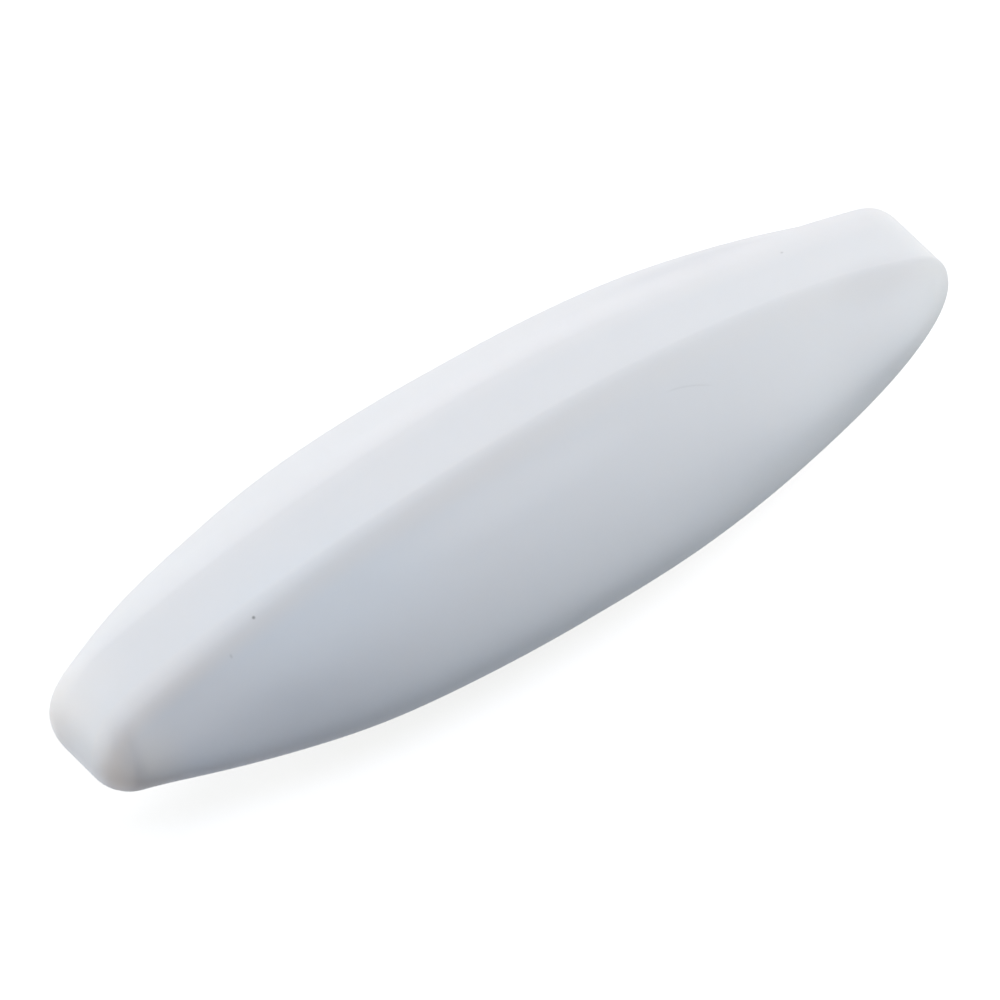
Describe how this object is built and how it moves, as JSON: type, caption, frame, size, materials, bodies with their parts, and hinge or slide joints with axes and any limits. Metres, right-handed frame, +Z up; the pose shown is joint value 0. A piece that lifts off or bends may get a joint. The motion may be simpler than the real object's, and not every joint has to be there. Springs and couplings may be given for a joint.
{
  "type": "magnetic stir bar",
  "caption": "Oval magnetic stir bar: a rod magnet sealed in a seamless white moulded jacket with a plain band, domed faces and blunt tips.",
  "frame": {"origin": "middle of the lower band, where the bar touches the surface that it lies on", "axes": "+X along the bar from tip to tip, +Y from dome to dome, +Z up from the lower band to the upper band"},
  "size_m": [0.07, 0.0208, 0.0184],
  "materials": {
    "ptfe": "smooth satin, slightly translucent white",
    "magnet": "cast and ground, grey"
  },
  "bodies": {
    "root": {"ptfe_jacket": "ptfe", "bar_magnet": "magnet"}
  },
  "joints": []
}
